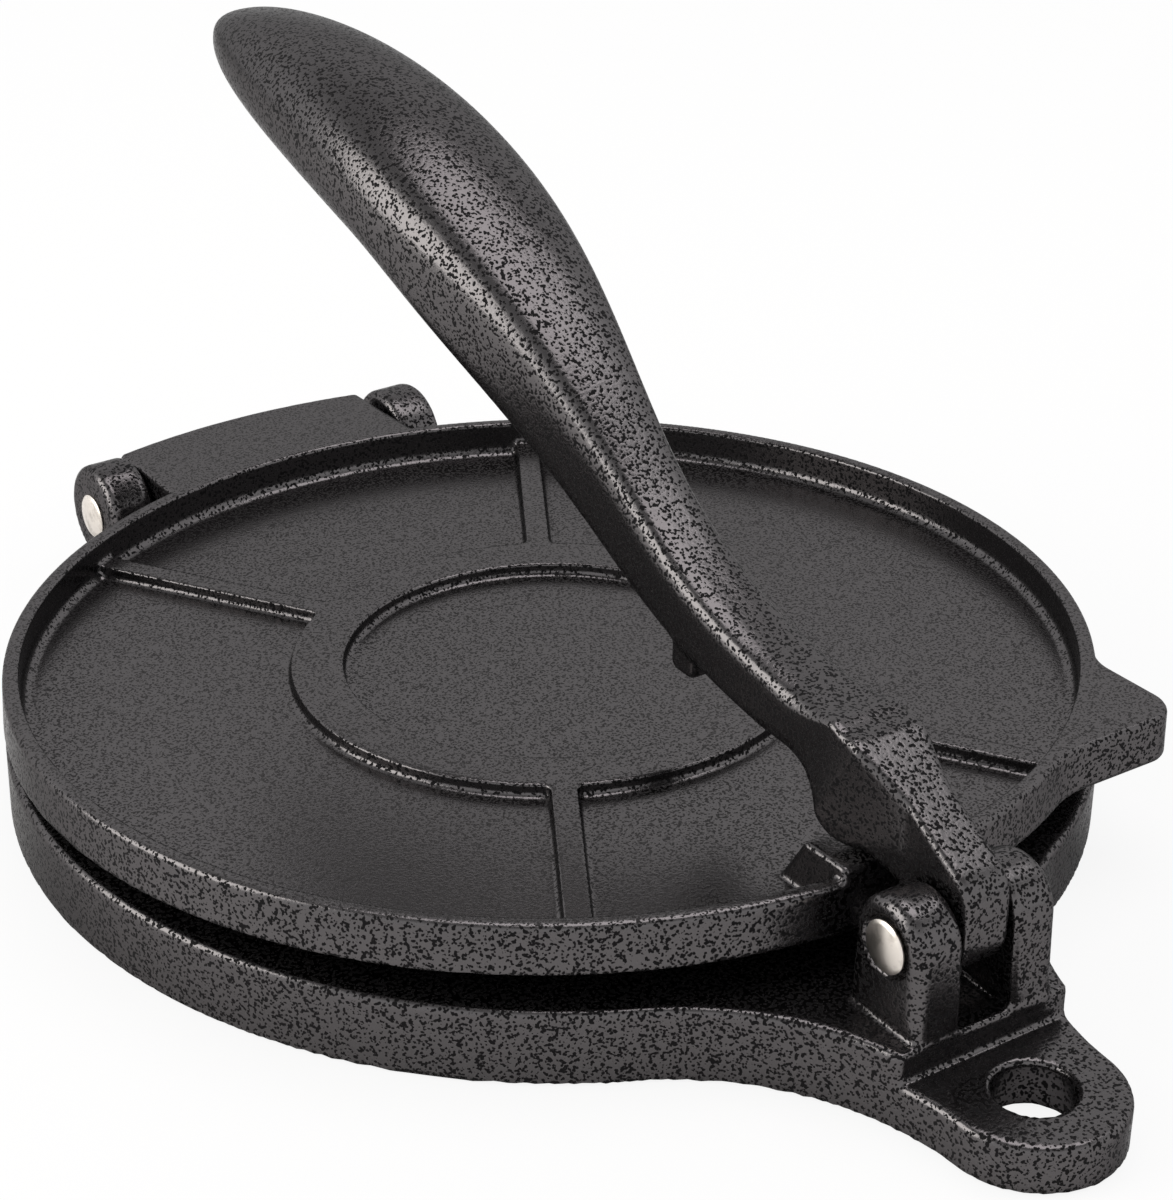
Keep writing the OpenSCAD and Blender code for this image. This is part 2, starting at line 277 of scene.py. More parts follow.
class Bench:
    """Where the shading nodes of one material or world are put together."""

    def __init__(self, tree: bpy.types.NodeTree) -> None:
        """Opens the bench on a node tree."""
        self.tree = tree

    def fit(self, node: bpy.types.Node, inputs: Inputs) -> None:
        """Sets a node's inputs.

        Args:
            node: The node.
            inputs: For the name or number of an input, a socket to link or a value.
        """
        for name, value in inputs.items():
            if isinstance(value, Socket):
                self.tree.links.new(value, node.inputs[name])
            else:
                node.inputs[name].default_value = value

    def add(self, kind: str, inputs: Inputs, **choices: str) -> bpy.types.Node:
        """Adds a node.

        Args:
            kind: The node's type.
            inputs: What its inputs are linked or set to.
            choices: The node's own settings.

        Returns:
            The node.
        """
        node = self.tree.nodes.new(kind)
        for name, value in choices.items():
            setattr(node, name, value)
        self.fit(node, inputs)
        return node

    def place(self, output: str = "Object") -> Socket:
        """One of the coordinates of the point that is shaded."""
        return self.add("ShaderNodeTexCoord", {}).outputs[output]

    def maths(self, kind: Sum, *values: Socket | float) -> Socket:
        """The result of one operation on numbers."""
        inputs = dict(enumerate(values))
        return self.add("ShaderNodeMath", inputs, operation=kind.value).outputs[0]

    def mapped(
        self, value: Socket, ends: Pair, results: Pair, ramp: Ramp = Ramp.STRAIGHT
    ) -> Socket:
        """Carries a number from one range over to another.

        Args:
            value: The number.
            ends: The range that it comes from.
            results: The range that it goes to.
            ramp: How it goes from one end to the other.

        Returns:
            The socket that gives the result.
        """
        inputs = {
            "Value": value,
            "From Min": ends[0],
            "From Max": ends[1],
            "To Min": results[0],
            "To Max": results[1],
        }
        node = self.add("ShaderNodeMapRange", inputs, interpolation_type=ramp.value)
        return node.outputs["Result"]

    def tone(self, share: Socket, a: Colour | Socket, b: Colour | Socket) -> Socket:
        """A colour on the way from one colour to another.

        Args:
            share: How far along it lies, from 0 to 1.
            a: The first colour.
            b: The second colour.

        Returns:
            The socket that gives the colour.
        """
        a, b = (c if isinstance(c, Socket) else (*c, 1.0) for c in (a, b))
        inputs = {"Factor": share, "A": a, "B": b}
        return self.add("ShaderNodeMix", inputs, data_type="RGBA").outputs["Result"]

    def relief(self, height: Socket, strength: float, depth: float) -> Socket:
        """The surface's direction, roughened by a height of the given depth."""
        inputs = {"Strength": strength, "Distance": depth, "Height": height}
        return self.add("ShaderNodeBump", inputs).outputs["Normal"]


def new_material(name: str) -> tuple[bpy.types.Material, Bench, bpy.types.Node]:
    """Starts a material.

    Args:
        name: The material's name.

    Returns:
        The material, its bench and its shader.
    """
    material = bpy.data.materials.new(name)
    material.use_nodes = True
    tree = material.node_tree
    return material, Bench(tree), tree.nodes["Principled BSDF"]


@dataclass(frozen=True)
class HammeredLacquer:
    """A grey metal-flake lacquer that has drawn itself into small black pits.

    Where its level-face pattern is on, level faces get finer, paler pits and a slightly paler
    ground.
    """

    name: str = "hammered_lacquer"
    level_pattern: bool = False
    ground: Colour = (0.110, 0.104, 0.106)
    level_ground: Colour = (0.115, 0.109, 0.111)
    pit: Colour = (0.010, 0.0095, 0.010)
    level_pit: Colour = (0.030, 0.0285, 0.029)
    pit_size: float = 0.64 * MM
    level_pit_size: float = 0.5 * MM
    crowding: float = 0.8
    crowd_detail: float = 3.0
    blot_share: float = 0.5
    pit_edge: Pair = (0.68, 0.73)
    level_from: Pair = (0.75, 0.97)
    roughness: float = 0.22
    pit_roughness: float = 0.45
    strength: float = 0.8
    depth: float = 0.05 * MM
    ior: float = 1.12
    gloss_tint: Colour = (0.5, 0.5, 0.5)

    def grain(self, bench: Bench, size: float) -> Socket:
        """Blots of one size, which crowd together in some places.

        Args:
            bench: The material's bench.
            size: How wide the blots are, in metres.

        Returns:
            The socket that gives the blots' height.
        """
        place = bench.place()
        spread = {"Vector": place, "Scale": self.crowding / size, "Detail": self.crowd_detail}
        crowd = bench.add("ShaderNodeTexNoise", spread).outputs["Fac"]
        spots = {"Vector": place, "Scale": 1.0 / size}
        blots = bench.add("ShaderNodeTexVoronoi", spots).outputs["Distance"]
        return bench.maths(Sum.TIMES_PLUS, blots, self.blot_share, crowd)

    def level(self, bench: Bench) -> Socket:
        """Finds the level faces, which get the finer, paler pits.

        Args:
            bench: The material's bench.

        Returns:
            The socket that gives how far the level-face pattern applies, from 0 to 1.
        """
        way = bench.add("ShaderNodeSeparateXYZ", {0: bench.place("Normal")})
        upright = bench.maths(Sum.SIZE, way.outputs["Z"])
        most = 1.0 if self.level_pattern else 0.0
        return bench.mapped(upright, self.level_from, (0.0, most), Ramp.SMOOTH)

    def material(self) -> bpy.types.Material:
        """Builds the lacquer.

        Returns:
            The material, with its colour, gloss and relief worked out from position.
        """
        material, bench, shader = new_material(self.name)
        level_pattern = self.level(bench)
        grains = {
            "Factor": level_pattern,
            "A": self.grain(bench, self.pit_size),
            "B": self.grain(bench, self.level_pit_size),
        }
        height = bench.add("ShaderNodeMix", grains).outputs["Result"]
        raised = bench.mapped(height, self.pit_edge, (0.0, 1.0), Ramp.SMOOTH)
        # Level faces get paler pits and a slightly paler ground here.
        bottom = bench.tone(level_pattern, self.pit, self.level_pit)
        top = bench.tone(level_pattern, self.ground, self.level_ground)
        gloss = bench.mapped(raised, (0.0, 1.0), (self.pit_roughness, self.roughness))
        finish = {
            "Base Color": bench.tone(raised, bottom, top),
            "Roughness": gloss,
            "Metallic": raised,
            "Normal": bench.relief(height, self.strength, self.depth),
            "IOR": self.ior,
            "Specular Tint": (*self.gloss_tint, 1.0),
        }
        bench.fit(shader, finish)
        return material


@dataclass(frozen=True)
class NickelPlate:
    """Satin nickel on a turned steel pin, a little worn."""

    name: str = "satin_nickel"
    bright: Colour = (0.78, 0.73, 0.67)
    worn: Colour = (0.55, 0.51, 0.46)
    roughness: float = 0.28
    wear_size: float = 2.5 * MM
    wear_detail: float = 4.0
    wear_edge: Pair = (0.35, 0.5)
    strength: float = 0.3
    depth: float = 0.03 * MM

    def material(self) -> bpy.types.Material:
        """Builds the plating.

        Returns:
            The material, with worn patches and a slight relief.
        """
        material, bench, shader = new_material(self.name)
        patches = {
            "Vector": bench.place(),
            "Scale": 1.0 / self.wear_size,
            "Detail": self.wear_detail,
        }
        wear = bench.add("ShaderNodeTexNoise", patches).outputs["Fac"]
        kept = bench.mapped(wear, self.wear_edge, (0.0, 1.0))
        finish = {
            "Base Color": bench.tone(kept, self.worn, self.bright),
            "Roughness": self.roughness,
            "Metallic": 1.0,
            "Normal": bench.relief(wear, self.strength, self.depth),
        }
        bench.fit(shader, finish)
        return material


# --- castings ---------------------------------------------------------------------


def joint_place(name: str) -> np.ndarray:
    """The place of a joint's axis, as its Y and Z in millimetres."""
    joint = next(j for j in frame["joints"] if j["name"] == name)
    return np.array(joint["pos_m"][1:]) / MM


def half_width(node: str) -> float:
    """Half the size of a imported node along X, in millimetres."""
    low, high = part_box(node)
    return (high.x - low.x) / 2 / MM


def off_ribs(x: Grid, y: Grid, angle: float) -> tuple[Grid, Grid]:
    """Distances, from above, to the middle lines of two ribs turned an angle each way."""
    return tuple(np.abs(x * math.cos(a) + y * math.sin(a)) for a in (angle, -angle))


@dataclass
class Casting(ABC):
    """A lacquered casting, drawn as a field in millimetres."""

    lacquer: bpy.types.Material
    hinge: np.ndarray = field(default_factory=lambda: joint_place("plate_hinge"))
    lever_pin: np.ndarray = field(default_factory=lambda: joint_place("lever_swing"))
    bore_r: float = 3.86
    cell: float = 0.9

    @abstractmethod
    def shape(self, x: Grid, y: Grid, z: Grid) -> Grid:
        """The casting's field."""

    @abstractmethod
    def reach(self) -> tuple[np.ndarray, np.ndarray]:
        """The two corners of the space that the shape fills."""

    def stand(self, points: np.ndarray) -> np.ndarray:
        """Takes directions or places from where the shape is drawn to its rest pose."""
        return points

    def origin(self) -> np.ndarray:
        """Where the drawing's origin lies in the row frame."""
        return np.zeros(3)

    def build(self, name: str, node: str, body: Body) -> bpy.types.Object:
        """Makes the casting's mesh, dresses it and hangs it on its body.

        Args:
            name: The piece's name.
            node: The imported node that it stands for.
            body: The body that carries it.

        Returns:
            The finished piece.
        """
        points, quads, normals = Skin(self.shape, *self.reach(), self.cell).lay()
        places = (self.stand(points) + self.origin()) * MM
        mesh = bpy.data.meshes.new(name)
        mesh.from_pydata(places.tolist(), [], quads.tolist(), shade_flat=False)
        mesh.normals_split_custom_set_from_vertices(self.stand(normals).tolist())
        mesh.materials.append(self.lacquer)
        piece = bpy.data.objects.new(name, mesh)
        bpy.context.scene.collection.objects.link(piece)
        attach(piece, body.value)
        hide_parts(node)
        return piece


@dataclass
class BasePlate(Casting):
    """The base: pressing deck, skirt, hinge ears, lever bracket and hanging eye."""

    radius: float = field(default_factory=lambda: half_width("base_plate"))
    height: float = 14.5
    edge: float = 1.4
    foot_edge: float = 0.4
    deck: float = 6.0
    skirt: float = 5.0
    foot_r: float = 20.0
    rib_w: float = 4.8
    rib_angle: float = math.radians(31)
    hollow_corner: float = 2.0
    hollow_roof: float = 1.5
    hollow_mouth: float = 0.8
    ear_inside: float = 30.3
    ear_w: float = 10.0
    ear_r: float = 10.7
    ear_root: float = 6.0
    ear_root_top: float = -0.8
    ear_edge: float = 2.0
    ear_fillet: float = 0.9
    slot_w: float = 11.0
    slot_edge: float = 1.0
    bracket_w: float = 9.3
    bracket_r: float = 8.5
    bracket_edge: float = 2.6
    bracket_root: float = 0.5
    bracket_fillet: float = 1.2
    draft: float = 0.6
    seat_r: float = 5.3
    seat_depth: float = 0.5
    step_edge: float = 0.8
    step_fillet: float = 0.8
    eye_y: float = -138.5
    eye_r: float = 16.0
    eye_hole_r: float = 7.0
    eye_hole_edge: float = 0.9
    eye_t: float = 9.0
    waist_r: float = 54.0

    def reach(self) -> tuple[np.ndarray, np.ndarray]:
        """Finds the space that the shape fills.

        Returns:
            Its two corners.
        """
        front = self.eye_y - self.eye_r
        back = self.hinge[0] + self.ear_r
        top = self.lever_pin[1] + self.bracket_r
        return np.array([-self.radius, front, 0]), np.array([self.radius, back, top])

    def outline(self, x: Grid, y: Grid) -> Grid:
        """The disc and the eye seen from above, joined by hollow curves.

        Args:
            x: Place to the right.
            y: Place to the back.

        Returns:
            The outline's field.
        """
        disc = np.hypot(x, y) - self.radius
        eye = np.hypot(x, y - self.eye_y) - self.eye_r
        far, near = self.radius + self.waist_r, self.eye_r + self.waist_r
        cy = (far**2 + self.eye_y**2 - near**2) / (2 * self.eye_y)
        cx = math.sqrt(far**2 - cy**2)
        dx, dy = np.abs(x) - cx, y - cy
        past_disc = dx * -cy + dy * cx < 0
        past_eye = dx * (self.eye_y - cy) + dy * cx > 0
        hollow = self.waist_r - np.hypot(dx, dy)
        return np.where(past_disc & past_eye, hollow, np.minimum(disc, eye))

    def bracket(self, x: Grid, y: Grid, z: Grid) -> Grid:
        """The two ears that hold the lever's pin, with a seat for its head.

        Args:
            x: Place to the right.
            y: Place to the back.
            z: Height.

        Returns:
            The bracket's field.
        """
        py, pz = y - self.lever_pin[0], z - self.lever_pin[1]
        spread = self.bracket_r - self.draft * pz / (self.lever_pin[1] - self.height)
        profile = np.where(pz > 0, np.hypot(py, pz) - self.bracket_r, np.abs(py) - spread)
        profile = np.maximum(profile, self.height - self.bracket_root - z)
        outside = np.abs(x) - self.slot_w / 2 - self.bracket_w
        ear = common(profile, outside, self.bracket_edge)
        ear = common(ear, self.slot_w / 2 - np.abs(x), self.slot_edge)
        seat = np.maximum(np.hypot(py, pz) - self.seat_r, -outside - self.seat_depth)
        return np.maximum(ear, -seat)

    def hinge_ears(self, x: Grid, y: Grid, z: Grid) -> Grid:
        """The two ears that hold the hinge pin.

        Args:
            x: Place to the right.
            y: Place to the back.
            z: Height.

        Returns:
            The ears' field.
        """
        py, pz = y - self.hinge[0], z - self.hinge[1]
        root = slab(y, self.radius - self.ear_root, self.hinge[0])
        root = np.maximum(root, slab(pz, -self.ear_r, self.ear_root_top))
        profile = np.minimum(np.hypot(py, pz) - self.ear_r, root)
        middle = self.ear_inside + self.ear_w / 2
        return common(profile, np.abs(np.abs(x) - middle) - self.ear_w / 2, self.ear_edge)

    def underside(self, x: Grid, y: Grid, z: Grid) -> Grid:
        """The hollow below the deck, between the skirt, the ribs and the foot.

        Args:
            x: Place to the right.
            y: Place to the back.
            z: Height.

        Returns:
            The hollow's field.
        """
        r = np.hypot(x, y)
        plan = np.maximum(r - self.radius + self.skirt, self.foot_r - r)
        for off_line in off_ribs(x, y, self.rib_angle):
            plan = common(plan, self.rib_w / 2 - off_line, self.hollow_corner)
        return common(plan, z - (self.height - self.deck), self.hollow_roof)

    def shape(self, x: Grid, y: Grid, z: Grid) -> Grid:
        """The whole base.

        Args:
            x: Place to the right.
            y: Place to the back.
            z: Height.

        Returns:
            The base's field.
        """
        front = self.lever_pin[0] - self.bracket_r - self.draft
        step = common(front - y, z - self.height, self.step_edge)
        top = join(step, z - self.eye_t, self.step_fillet)
        top = join(top, self.bracket(x, y, z), self.bracket_fillet)
        metal = common(self.outline(x, y), top, self.edge)
        metal = common(metal, -z, self.foot_edge)
        metal = join(metal, self.hinge_ears(x, y, z), self.ear_fillet)
        eye_hole = np.hypot(x, y - self.eye_y) - self.eye_hole_r
        metal = common(metal, -eye_hole, self.eye_hole_edge)
        metal = common(metal, -self.underside(x, y, z), self.hollow_mouth)
        for py, pz in (self.hinge, self.lever_pin):
            metal = np.maximum(metal, self.bore_r - np.hypot(y - py, z - pz))
        return metal


@dataclass
class TopPlate(Casting):
    """The top plate, drawn closed, with its underside at z = 0."""

    foot_r: float = field(default_factory=lambda: half_width("top_plate"))
    flare: float = 0.5
    rest_open: float = math.radians(2.0)
    slide: float = 0.7
    height: float = 9.2
    edge: float = 1.2
    foot_edge: float = 0.4
    rim: float = 3.1
    floor: float = 2.0
    dish_edge: float = 0.6
    dish_fillet: float = 2.0
    root: float = 1.0
    relief: float = 2.5
    relief_edge: float = 0.4
    relief_fillet: float = 1.2
    relief_corner: float = 1.5
    ring_r: float = 44.2
    ring_w: float = 10.0
    rib_w: float = 4.8
    rib_angle: float = math.radians(31)
    tab: Pair = (77.5, -90.2)
    tab_block: Pair = (34.0, 26.0)
    tab_r: float = 7.0
    tab_fillet: float = 2.0
    tongue_w: float = 58.6
    tongue_edge: float = 1.0
    tongue_root: float = 0.9
    crown: float = 10.4
    pad_w: float = 20.0
    pad_rise: float = 2.3
    pad_back: float = 11.9
    pad_slope: float = 6.4
    pad_set_back: float = 0.4
    pad_front_edge: float = 1.6
    pad_back_edge: float = 0.6
    pad_side_edge: float = 1.0
    pad_fillet: float = 0.8
    cell: float = 0.75

    @property
    def radius(self) -> float:
        """The plate's radius at the top of its rim."""
        return self.foot_r - self.flare

    def reach(self) -> tuple[np.ndarray, np.ndarray]:
        """Finds the space that the shape fills.

        Returns:
            Its two corners.
        """
        low = np.array([-self.foot_r, -self.foot_r, -self.height])
        back, top = self.hinge[0] + self.crown, self.height + self.pad_rise
        return low, np.array([self.foot_r, back, top])

    def stand(self, points: np.ndarray) -> np.ndarray:
        """Opens the plate about its hinge to the rest pose."""
        turn = np.array(Matrix.Rotation(-self.rest_open, 3, "X"))
        return points @ turn.T

    def origin(self) -> np.ndarray:
        """Where the drawing's origin goes, since the plate opens about its hinge."""
        hinge = np.array([0, self.hinge[0], 0])
        return np.array([-self.slide, *self.hinge]) - self.stand(hinge[None])[0]

    def wall(self, x: Grid, y: Grid, z: Grid) -> Grid:
        """The outside of the flared rim and its lift tab.

        Args:
            x: Place to the right.
            y: Place to the back.
            z: Height.

        Returns:
            The wall's field.
        """
        (tab_x, tab_y), (block_x, block_y) = self.tab, self.tab_block
        corner = common(x - tab_x, tab_y - y, self.tab_r)
        inside = np.maximum(tab_x - block_x - x, y - tab_y - block_y)
        disc = np.hypot(x, y) - self.foot_r + self.flare * np.clip(z / self.height, 0, 1)
        return join(disc, np.maximum(corner, inside), self.tab_fillet)

    def tongue(self, x: Grid, y: Grid, z: Grid) -> Grid:
        """The strap that turns on the hinge pin.

        Args:
            x: Place to the right.
            y: Place to the back.
            z: Height.

        Returns:
            The strap's field.
        """
        back = np.hypot(x, y) - self.hinge[0] - self.crown
        strap = common(common(back, z - self.height, self.edge), -z, self.foot_edge)
        barrel = np.hypot(y - self.hinge[0], z) - self.height
        both = np.maximum(np.minimum(strap, barrel), self.radius * self.tongue_root - y)
        return common(both, np.abs(x) - self.tongue_w / 2, self.tongue_edge)

    def pad(self, x: Grid, y: Grid, z: Grid) -> Grid:
        """The pad that the cam bears on, with its sloping back.

        Args:
            x: Place to the right.
            y: Place to the back.
            z: Height.

        Returns:
            The pad's field.
        """
        top = self.height + self.pad_rise
        flat_end = self.pad_back - self.radius
        fall = math.atan2(top - self.floor, self.pad_slope)
        slope = (y - flat_end) * math.sin(fall) + (z - top) * math.cos(fall)
        front = np.hypot(x, y) - self.radius + self.pad_set_back
        above = common(z - top, front, self.pad_front_edge)
        above = common(above, slope, self.pad_back_edge)
        block = np.maximum(above, self.root - z)
        return common(block, np.abs(x) - self.pad_w / 2, self.pad_side_edge)

    def relief_plan(self, x: Grid, y: Grid) -> Grid:
        """The ring and the four ribs, seen from above.

        Args:
            x: Place to the right.
            y: Place to the back.

        Returns:
            The relief's field.
        """
        r = np.hypot(x, y)
        ring = np.abs(r - self.ring_r) - self.ring_w / 2
        ribs = np.minimum(*off_ribs(x, y, self.rib_angle)) - self.rib_w / 2
        ribs = np.maximum(ribs, slab(r, self.ring_r, self.radius - self.rim / 2))
        return join(ring, ribs, self.relief_corner)

    def shape(self, x: Grid, y: Grid, z: Grid) -> Grid:
        """The whole plate.

        Args:
            x: Place to the right.
            y: Place to the back.
            z: Height.

        Returns:
            The plate's field.
        """
        disc = common(self.wall(x, y, z), z - self.height, self.edge)
        disc = common(disc, -z, self.foot_edge)
        metal = np.minimum(disc, self.tongue(x, y, z))
        inner = np.hypot(x, y) - self.radius + self.rim
        dish = common(inner, self.floor - z, self.dish_fillet)
        metal = common(metal, -dish, self.dish_edge)
        raised = slab(z, self.root, self.floor + self.relief)
        raised = common(self.relief_plan(x, y), raised, self.relief_edge)
        metal = join(metal, raised, self.relief_fillet)
        metal = join(metal, self.pad(x, y, z), self.pad_fillet)
        bore = np.hypot(y - self.hinge[0], z) - self.bore_r
        return np.maximum(metal, -bore)


@dataclass
class Lever(Casting):
    """The lever, drawn from its pin: lug, knee, cam, web, press nub and grip.

    Places are Y and Z from the pin. A pair of sizes goes with the top of the cam block
    and its foot, or with the web and the grip. The other pairs, named for what happens
    over them, say where a change starts and where it is complete.
    """

    length: float = 252.0
    spine_shape: tuple[Pair, ...] = (
        (0.133, 0.081),
        (0.371, 0.092),
        (0.397, 0.191),
        (0.532, 0.330),
        (0.941, 0.334),
    )
    lug_t: float = 9.6
    lug_r: float = 7.7
    lug_top: Pair = (-0.7, 6.0)
    lug_top_r: float = 7.0
    lug_edge: float = 1.3
    heel: Pair = (23.2, 13.0)
    heel_r: float = 4.3
    knee: Pair = (21.5, 19.2)
    root: Pair = (42.0, 20.4)
    knee_r: float = 6.2
    cam: Pair = (21.0, 11.4)
    cam_top: Pair = (24.2, 18.9)
    cam_r: float = 6.5
    cam_top_r: float = 6.2
    cam_w: float = 19.0
    cam_share: Pair = (0.1, 1.0)
    block_h: float = 16.0
    block_fillet: Pair = (0.02, 3.52)
    fillet_over: Pair = (1.0, 6.0)
    taper_start: Pair = (18.0, 24.0)
    taper_end: Pair = (32.0, 44.0)
    toe_in: float = 1.8
    toe_over: Pair = (13.0, 26.0)
    flare_start: Pair = (18.5, 9.0)
    flare_length: Pair = (7.5, 16.5)
    web_w: float = 14.3
    web_h: float = 11.7
    web_edge: float = 3.7
    web_edge_over: Pair = (3.0, 19.0)
    handover: Pair = (38.0, 50.0)
    grip_w: float = 35.6
    grip_h: float = 26.0
    square_top: Pair = (4.2, 2.3)
    square_under: Pair = (8.0, 2.3)
    deepen_start: float = 46.0
    swell_start: float = 89.0
    swell_end: float = 180.0
    end_gap: float = 0.2
    nub: Pair = (68.5, 16.4)
    nub_w: float = 12.0
    nub_l: float = 7.0
    nub_r: float = 2.0
    nub_side_edge: float = 1.0
    nub_fillet: float = 1.2
    cell: float = 0.7
    samples: int = 260
    batch: int = 40000

    def origin(self) -> np.ndarray:
        """Where the lever's pin lies in the row frame."""
        return np.array([0, *self.lever_pin])

    def reach(self) -> tuple[np.ndarray, np.ndarray]:
        """The two corners of the space that the shape fills."""
        low, high = (np.array(v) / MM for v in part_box("lever"))
        return low - self.origin(), high - self.origin()

    def spine(self) -> tuple[np.ndarray, np.ndarray]:
        """Draws the middle line, a smooth curve pulled towards a few points.

        Returns:
            The line's points and its directions there, as Y and Z.
        """
        t = np.linspace(0, 1, self.samples)[:, None]
        level = list(np.array(self.spine_shape) * self.length)
        while len(level) > 2:
            level = [a + t * (b - a) for a, b in zip(level, level[1:])]
        way = level[1] - level[0]
        return level[0] + t * way, way / np.linalg.norm(way, axis=1)[:, None]

    def stations(self, y: Grid, z: Grid) -> tuple[Grid, Grid]:
        """Finds the nearest place on the middle line.

        Args:
            y: Distance behind the pin.
            z: Height above the pin.

        Returns:
            The distance from the pin to that place, and how far off the line the
            point is.
        """
        line, way = self.spine()
        y, z = np.broadcast_arrays(y, z)
        py, pz = y.ravel(), z.ravel()
        nearest = np.empty(py.shape, int)
        for start in range(0, len(py), self.batch):
            part = slice(start, start + self.batch)
            gap = (py[part, None] - line[:, 0]) ** 2 + (pz[part, None] - line[:, 1]) ** 2
            nearest[part] = gap.argmin(1)
        at, along = line[nearest], way[nearest]
        dy, dz = py - at[:, 0], pz - at[:, 1]
        shift = dy * along[:, 0] + dz * along[:, 1]
        off = dz * along[:, 0] - dy * along[:, 1]
        out = np.hypot(*at.T)
        distance = out + shift * (at * along).sum(1) / out
        return distance.reshape(y.shape), off.reshape(y.shape)

    def grip(self, x: Grid, distance: Grid, off: Grid) -> Grid:
        """The web and the teardrop grip that it swells into.

        Args:
            x: Place to the right.
            distance: Distance from the pin to the nearest place on the middle line.
            off: How far above that line the point is.

        Returns:
            The field of the web and the grip.
        """
        swell = ease(distance, self.swell_start, self.swell_end)
        deep = ease(distance, self.deepen_start, self.swell_end)
        half_w = between((self.web_w, self.grip_w), swell) / 2
        half_h = between((self.web_h, self.grip_h), deep) / 2
        above, below = between(self.square_top, swell), between(self.square_under, swell)
        power = np.where(off > 0, above, below)
        left = self.length - self.swell_end + self.end_gap
        end = np.maximum(distance - self.swell_end, 0) / left
        taken = np.where(end < 1, 1 - np.maximum(1 - end**2, 0) ** (power / 2), end**2)
        size = (np.abs(x) / half_w) ** power + (np.abs(off) / half_h) ** power + taken
        return (size ** (1 / power) - 1) * np.minimum(half_w, half_h)

    def side_view(self, y: Grid, z: Grid) -> Grid:
        """The lug, the knee, the cam and the start of the web, from the side.

        Args:
            y: Distance behind the pin.
            z: Height above the pin.

        Returns:
            The outline's field.
        """
        top, knee, heel = (np.array(p) for p in (self.lug_top, self.knee, self.heel))
        cam, cam_top, root = (np.array(p) for p in (self.cam, self.cam_top, self.root))
        front = strut(y, z, np.zeros(2), top, self.lug_r, self.lug_top_r)
        upper = strut(y, z, top, knee, self.lug_top_r, self.knee_r)
        lower = strut(y, z, top, heel, self.lug_top_r, self.heel_r)
        bar = strut(y, z, cam, cam_top, self.cam_r, self.cam_top_r)
        web = strut(y, z, knee, root, self.knee_r, self.web_h / 2)
        grown = ease(y, *(cam[0] + over for over in self.fillet_over))
        behind = join(bar, web, between(self.block_fillet, grown))
        return np.minimum(np.minimum(front, upper), np.minimum(lower, behind))

    def block_width(self, y: Grid, z: Grid) -> Grid:
        """How wide the head is, from the thin lug to the cam and the web behind it.

        Args:
            y: Distance behind the pin.
            z: Height above the pin.

        Returns:
            The width there.
        """
        top, knee = np.array(self.lug_top), np.array(self.knee)
        low = np.clip((knee[1] + self.knee_r - z) / self.block_h, 0, 1)
        taper = ease(y, between(self.taper_start, low), between(self.taper_end, low))
        spread = between(self.cam_share, low) * (1 - taper)
        wide = between((self.web_w, self.cam_w), spread)
        wide = wide - self.toe_in * low * (1 - ease(y, *self.toe_over))
        way = (knee - top) / np.linalg.norm(knee - top)
        along = (y - top[0]) * way[0] + (z - top[1]) * way[1]
        past_lug = along - between(self.flare_start, low)
        out = np.clip(past_lug / between(self.flare_length, low), 0, 1)
        return self.lug_t + (wide - self.lug_t) * out

    def head(self, x: Grid, y: Grid, z: Grid) -> Grid:
        """The flat lug round the pin, which sweeps out to the wide cam and the web.

        Args:
            x: Place to the right.
            y: Distance behind the pin.
            z: Height above the pin.

        Returns:
            The head's field.
        """
        past_side = np.abs(x) - self.block_width(y, z) / 2
        rounder = ease(y, *(self.knee[0] + over for over in self.web_edge_over))
        edge = between((self.lug_edge, self.web_edge), rounder)
        return common(self.side_view(y, z), past_side, edge)

    def press_nub(self, x: Grid, y: Grid, z: Grid) -> Grid:
        """The block under the web that comes down on the plate's ring.

        Args:
            x: Place to the right.
            y: Distance behind the pin.
            z: Height above the pin.

        Returns:
            The block's field.
        """
        nub_y, nub_z = self.nub
        ends = np.abs(y - nub_y) - self.nub_l / 2
        foot = common(ends, nub_z - self.nub_r - z, self.nub_r)
        block = np.maximum(foot, z - nub_z - self.web_h / 2)
        return common(block, np.abs(x) - self.nub_w / 2, self.nub_side_edge)

    def shape(self, x: Grid, y: Grid, z: Grid) -> Grid:
        """The whole lever.

        Args:
            x: Place to the right.
            y: Distance behind the pin.
            z: Height above the pin.

        Returns:
            The lever's field.
        """
        distance, off = self.stations(y, z)
        share = ease(distance, *self.handover)
        metal = (1 - share) * self.head(x, y, z) + share * self.grip(x, distance, off)
        metal = join(metal, self.press_nub(x, y, z), self.nub_fillet)
        return np.maximum(metal, self.bore_r - np.hypot(y, z))


# --- pins -------------------------------------------------------------------------


